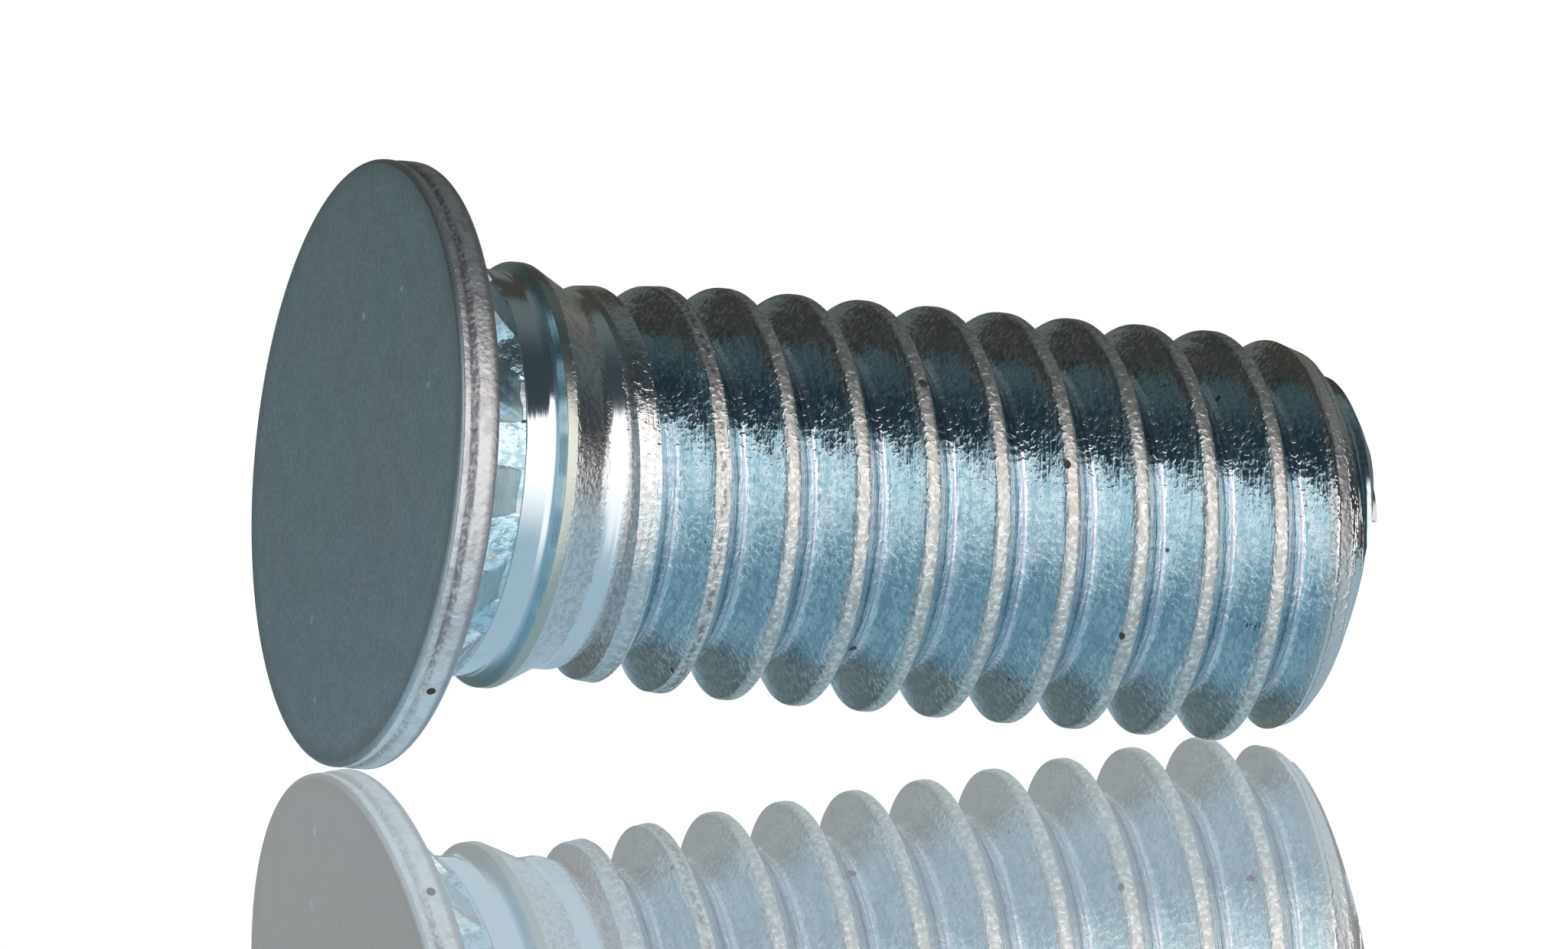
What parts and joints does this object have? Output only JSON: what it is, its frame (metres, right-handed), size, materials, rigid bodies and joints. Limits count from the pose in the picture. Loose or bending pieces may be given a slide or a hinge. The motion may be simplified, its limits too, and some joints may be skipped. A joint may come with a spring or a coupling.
{
  "type": "self-clinching stud",
  "caption": "Threaded steel stud with a thin flush head, clinch ribs behind it and an undercut groove that locks it in sheet metal.",
  "frame": {"origin": "centre of the head's flat outer face", "axes": "+Z along the shank from the head to the threaded tip, -Y the side that faces the camera"},
  "size_m": [0.0058, 0.0056, 0.0099],
  "materials": {
    "zinc_plate": "bright zinc plate with a clear blue passivate"
  },
  "bodies": {
    "root": {"stud": "zinc_plate"}
  },
  "joints": []
}
